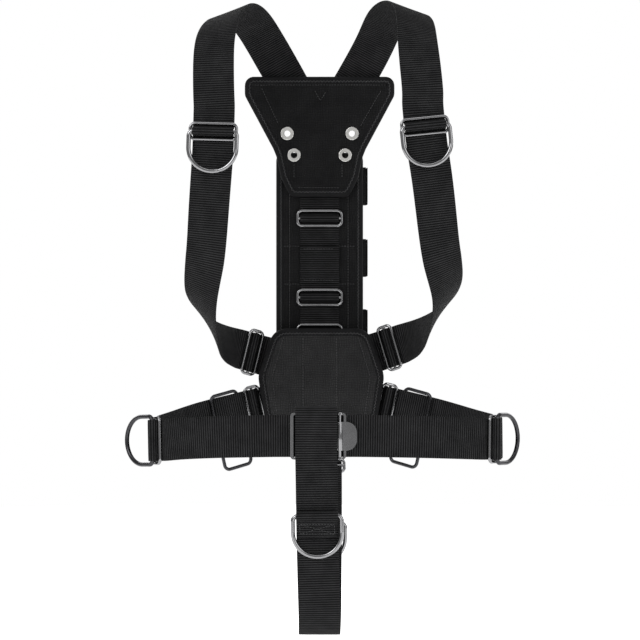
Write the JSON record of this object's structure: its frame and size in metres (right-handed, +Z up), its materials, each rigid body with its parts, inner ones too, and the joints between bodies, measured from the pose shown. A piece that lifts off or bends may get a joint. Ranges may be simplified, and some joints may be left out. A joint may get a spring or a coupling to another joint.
{
  "type": "sidemount diving harness",
  "caption": "Soft diving harness of black webbing with a stiff shoulder plate, padded spine and lumbar panels, waist belt, crotch strap and steel rings, shaped as worn.",
  "frame": {"origin": "midway between the upper pair of grommets, on the front face of the shoulder plate", "axes": "+X across the wearer towards the image right, +Y to the rear through the plate, +Z up the wearer's back"},
  "size_m": [0.4964, 0.2821, 0.797],
  "materials": {
    "webbing": "ribbed weave, matte",
    "pad_fabric": "plain weave, matte",
    "binding": "tape, slight sheen",
    "stiffener": "matte",
    "grommet": "polished",
    "stainless": "polished stainless steel"
  },
  "bodies": {
    "harness": {"plate_front_cover": "pad_fabric", "plate_stiffener": "stiffener", "plate_back_cover": "pad_fabric", "plate_binding": "binding", "grommets": "grommet", "grommet_washers": "grommet", "spine_front_cover": "pad_fabric", "spine_stiffener": "stiffener", "spine_back_cover": "pad_fabric", "spine_binding": "binding", "spine_webbing": "webbing", "spine_webbing_tail": "webbing", "spine_triglide_upper": "stainless", "spine_triglide_middle": "stainless", "spine_triglide_lower": "stainless", "trim_pocket_upper": "pad_fabric", "trim_pocket_middle": "pad_fabric", "trim_pocket_lower": "pad_fabric", "lumbar_front_cover": "pad_fabric", "lumbar_stiffener": "stiffener", "lumbar_back_cover": "pad_fabric", "lumbar_binding": "binding", "left_shoulder_strap": "webbing", "left_chest_triglide": "stainless", "left_lumbar_triglide_upper": "stainless", "right_shoulder_strap": "webbing", "right_chest_triglide": "stainless", "right_lumbar_triglide_upper": "stainless", "left_belt": "webbing", "left_lumbar_triglide_lower": "stainless", "left_waist_triglide": "stainless", "right_belt": "webbing", "right_lumbar_triglide_lower": "stainless", "right_waist_triglide": "stainless", "buckle_frame": "stainless", "buckle_pin": "stainless", "crotch_strap": "webbing", "crotch_triglide": "stainless", "crotch_tab_front": "webbing", "crotch_tab_rear": "webbing"},
    "trim_pocket_flap_upper": {"trim_pocket_flap_upper": "pad_fabric"},
    "trim_pocket_flap_middle": {"trim_pocket_flap_middle": "pad_fabric"},
    "trim_pocket_flap_lower": {"trim_pocket_flap_lower": "pad_fabric"},
    "left_chest_d_ring": {"left_chest_d_ring": "stainless"},
    "right_chest_d_ring": {"right_chest_d_ring": "stainless"},
    "left_waist_d_ring": {"left_waist_d_ring": "stainless"},
    "right_waist_d_ring": {"right_waist_d_ring": "stainless"},
    "buckle_lever": {"buckle_lever": "stainless"},
    "crotch_d_ring_front": {"crotch_d_ring_front": "stainless"},
    "crotch_d_ring_rear": {"crotch_d_ring_rear": "stainless"},
    "left_drop_ring": {"left_drop_ring": "stainless"},
    "right_drop_ring": {"right_drop_ring": "stainless"}
  },
  "joints": [
    {"name": "trim_pocket_flap_upper_hinge", "type": "hinge", "parent": "harness", "child": "trim_pocket_flap_upper", "pos_m": [0.0624, 0.0165, -0.068], "axis": [0, 0, -1], "range_deg": [0, 110]},
    {"name": "trim_pocket_flap_middle_hinge", "type": "hinge", "parent": "harness", "child": "trim_pocket_flap_middle", "pos_m": [0.0624, 0.0165, -0.1625], "axis": [0, 0, -1], "range_deg": [0, 110]},
    {"name": "trim_pocket_flap_lower_hinge", "type": "hinge", "parent": "harness", "child": "trim_pocket_flap_lower", "pos_m": [0.0624, 0.0165, -0.255], "axis": [0, 0, -1], "range_deg": [0, 100]},
    {"name": "left_chest_d_ring_hinge", "type": "hinge", "parent": "harness", "child": "left_chest_d_ring", "pos_m": [-0.13195, -0.18714, -0.01076], "axis": [-0.9983, 0.0499, 0.0296], "range_deg": [0, 150]},
    {"name": "right_chest_d_ring_hinge", "type": "hinge", "parent": "harness", "child": "right_chest_d_ring", "pos_m": [0.13093, -0.18714, -0.00374], "axis": [-0.9935, -0.0497, -0.1028], "range_deg": [0, 150]},
    {"name": "left_waist_d_ring_hinge", "type": "hinge", "parent": "harness", "child": "left_waist_d_ring", "pos_m": [-0.20782, -0.17176, -0.39398], "axis": [-0.0219, 0.041, 0.9989], "range_deg": [-12, 130]},
    {"name": "right_waist_d_ring_hinge", "type": "hinge", "parent": "harness", "child": "right_waist_d_ring", "pos_m": [0.22051, -0.17622, -0.39197], "axis": [-0.0127, -0.0238, -0.9996], "range_deg": [0, 140]},
    {"name": "buckle_lever_hinge", "type": "hinge", "parent": "harness", "child": "buckle_lever", "pos_m": [0.0245, -0.2315, -0.386], "axis": [0, 0, -1], "range_deg": [0, 90]},
    {"name": "crotch_d_ring_front_hinge", "type": "hinge", "parent": "harness", "child": "crotch_d_ring_front", "pos_m": [-0.00299, -0.23983, -0.48252], "axis": [-0.9999, 0, -0.0145], "range_deg": [-2, 150]},
    {"name": "crotch_d_ring_rear_hinge", "type": "hinge", "parent": "harness", "child": "crotch_d_ring_rear", "pos_m": [0.003, -0.07829, -0.50379], "axis": [1, -0.0048, -0.0073], "range_deg": [-34, 100]},
    {"name": "left_drop_ring_slide", "type": "slide", "parent": "harness", "child": "left_drop_ring", "axis": [-0.9143, -0.3392, -0.2212], "range_m": [-0.002, 0.012]},
    {"name": "right_drop_ring_slide", "type": "slide", "parent": "harness", "child": "right_drop_ring", "axis": [0.9143, -0.3392, -0.2212], "range_m": [-0.002, 0.012]}
  ]
}
